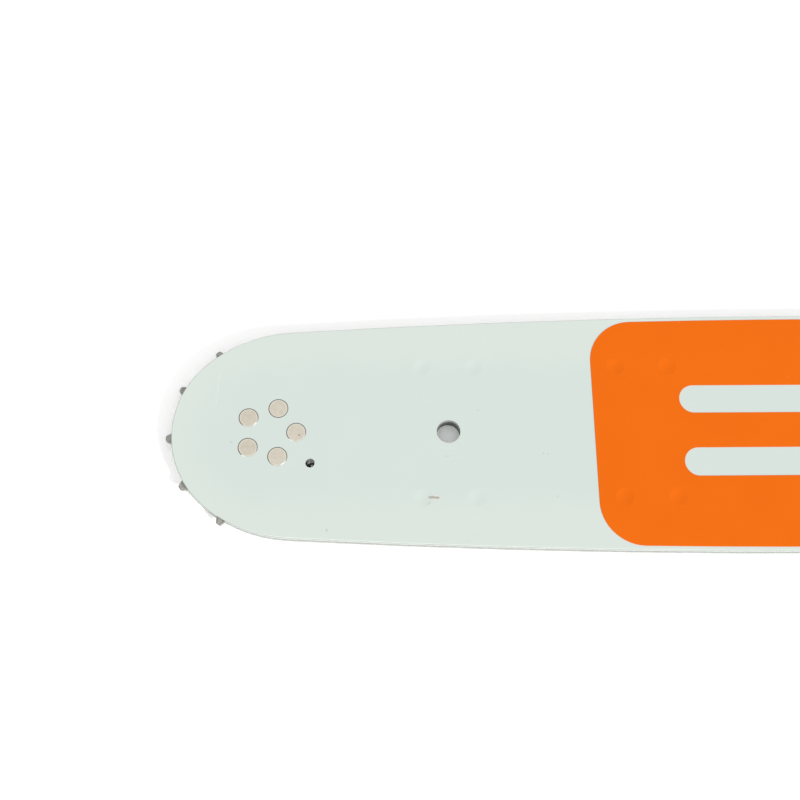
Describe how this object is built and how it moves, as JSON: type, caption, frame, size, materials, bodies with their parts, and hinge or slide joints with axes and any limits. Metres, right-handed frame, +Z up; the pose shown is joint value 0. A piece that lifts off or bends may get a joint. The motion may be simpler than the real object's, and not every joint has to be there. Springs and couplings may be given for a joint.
{
  "type": "chainsaw guide bar",
  "caption": "Flat laminated chainsaw guide bar: chain groove along both edges, toothed nose sprocket on a roller bearing, flush nose rivets, open stud slot at the tail, printed colour panel.",
  "frame": {"origin": "centre of the bar's box, on its resting face", "axes": "+X from the nose to the tail, +Z up out of the printed face"},
  "size_m": [0.4584, 0.0676, 0.0048],
  "materials": {
    "pale_paint": "satin pale grey-green paint with shallow weld dents",
    "core_steel": "ground steel, lightly oiled in the groove",
    "sprocket_steel": "hardened dark grey steel",
    "bearing_steel": "polished bearing steel",
    "cage_steel": "pressed dark steel, greased",
    "rivet_steel": "bare ground rivet heads, warm grey",
    "orange_print": "satin orange screen print"
  },
  "bodies": {
    "bar": {"upper_side_plate": "pale_paint", "lower_side_plate": "pale_paint", "core_plate": "core_steel", "bearing_race": "bearing_steel", "nose_rivets": "rivet_steel", "printed_panel": "orange_print"},
    "sprocket": {"nose_sprocket": "sprocket_steel"},
    "cage": {"roller_cage": "cage_steel"},
    "roller_01": {"roller_01": "bearing_steel"},
    "roller_02": {"roller_02": "bearing_steel"},
    "roller_03": {"roller_03": "bearing_steel"},
    "roller_04": {"roller_04": "bearing_steel"},
    "roller_05": {"roller_05": "bearing_steel"},
    "roller_06": {"roller_06": "bearing_steel"},
    "roller_07": {"roller_07": "bearing_steel"},
    "roller_08": {"roller_08": "bearing_steel"},
    "roller_09": {"roller_09": "bearing_steel"},
    "roller_10": {"roller_10": "bearing_steel"},
    "roller_11": {"roller_11": "bearing_steel"},
    "roller_12": {"roller_12": "bearing_steel"},
    "roller_13": {"roller_13": "bearing_steel"},
    "roller_14": {"roller_14": "bearing_steel"}
  },
  "joints": [
    {"name": "sprocket_spin", "type": "hinge", "parent": "bar", "child": "sprocket", "pos_m": [-0.20078, 0, 0.00235], "axis": [0, 0, 1], "continuous": true},
    {"name": "cage_spin", "type": "hinge", "parent": "bar", "child": "cage", "pos_m": [-0.20078, 0, 0.00235], "axis": [0, 0, 1], "continuous": true},
    {"name": "roller_01_spin", "type": "hinge", "parent": "cage", "child": "roller_01", "pos_m": [-0.18938, -0.00829, 0.00235], "axis": [0, 0, 1], "continuous": true},
    {"name": "roller_02_spin", "type": "hinge", "parent": "cage", "child": "roller_02", "pos_m": [-0.18691, -0.00252, 0.00235], "axis": [0, 0, 1], "continuous": true},
    {"name": "roller_03_spin", "type": "hinge", "parent": "cage", "child": "roller_03", "pos_m": [-0.18719, 0.00375, 0.00235], "axis": [0, 0, 1], "continuous": true},
    {"name": "roller_04_spin", "type": "hinge", "parent": "cage", "child": "roller_04", "pos_m": [-0.19016, 0.00928, 0.00235], "axis": [0, 0, 1], "continuous": true},
    {"name": "roller_05_spin", "type": "hinge", "parent": "cage", "child": "roller_05", "pos_m": [-0.19524, 0.01297, 0.00235], "axis": [0, 0, 1], "continuous": true},
    {"name": "roller_06_spin", "type": "hinge", "parent": "cage", "child": "roller_06", "pos_m": [-0.20142, 0.01409, 0.00235], "axis": [0, 0, 1], "continuous": true},
    {"name": "roller_07_spin", "type": "hinge", "parent": "cage", "child": "roller_07", "pos_m": [-0.20746, 0.01242, 0.00235], "axis": [0, 0, 1], "continuous": true},
    {"name": "roller_08_spin", "type": "hinge", "parent": "cage", "child": "roller_08", "pos_m": [-0.21219, 0.00829, 0.00235], "axis": [0, 0, 1], "continuous": true},
    {"name": "roller_09_spin", "type": "hinge", "parent": "cage", "child": "roller_09", "pos_m": [-0.21466, 0.00252, 0.00235], "axis": [0, 0, 1], "continuous": true},
    {"name": "roller_10_spin", "type": "hinge", "parent": "cage", "child": "roller_10", "pos_m": [-0.21438, -0.00375, 0.00235], "axis": [0, 0, 1], "continuous": true},
    {"name": "roller_11_spin", "type": "hinge", "parent": "cage", "child": "roller_11", "pos_m": [-0.2114, -0.00928, 0.00235], "axis": [0, 0, 1], "continuous": true},
    {"name": "roller_12_spin", "type": "hinge", "parent": "cage", "child": "roller_12", "pos_m": [-0.20632, -0.01297, 0.00235], "axis": [0, 0, 1], "continuous": true},
    {"name": "roller_13_spin", "type": "hinge", "parent": "cage", "child": "roller_13", "pos_m": [-0.20015, -0.01409, 0.00235], "axis": [0, 0, 1], "continuous": true},
    {"name": "roller_14_spin", "type": "hinge", "parent": "cage", "child": "roller_14", "pos_m": [-0.1941, -0.01242, 0.00235], "axis": [0, 0, 1], "continuous": true}
  ],
  "couplings": [
    {"joint": "cage_spin", "follows": "sprocket_spin", "ratio": 0.54362},
    {"joint": "roller_01_spin", "follows": "sprocket_spin", "ratio": 5.8303},
    {"joint": "roller_02_spin", "follows": "sprocket_spin", "ratio": 5.8303},
    {"joint": "roller_03_spin", "follows": "sprocket_spin", "ratio": 5.8303},
    {"joint": "roller_04_spin", "follows": "sprocket_spin", "ratio": 5.8303},
    {"joint": "roller_05_spin", "follows": "sprocket_spin", "ratio": 5.8303},
    {"joint": "roller_06_spin", "follows": "sprocket_spin", "ratio": 5.8303},
    {"joint": "roller_07_spin", "follows": "sprocket_spin", "ratio": 5.8303},
    {"joint": "roller_08_spin", "follows": "sprocket_spin", "ratio": 5.8303},
    {"joint": "roller_09_spin", "follows": "sprocket_spin", "ratio": 5.8303},
    {"joint": "roller_10_spin", "follows": "sprocket_spin", "ratio": 5.8303},
    {"joint": "roller_11_spin", "follows": "sprocket_spin", "ratio": 5.8303},
    {"joint": "roller_12_spin", "follows": "sprocket_spin", "ratio": 5.8303},
    {"joint": "roller_13_spin", "follows": "sprocket_spin", "ratio": 5.8303},
    {"joint": "roller_14_spin", "follows": "sprocket_spin", "ratio": 5.8303}
  ]
}
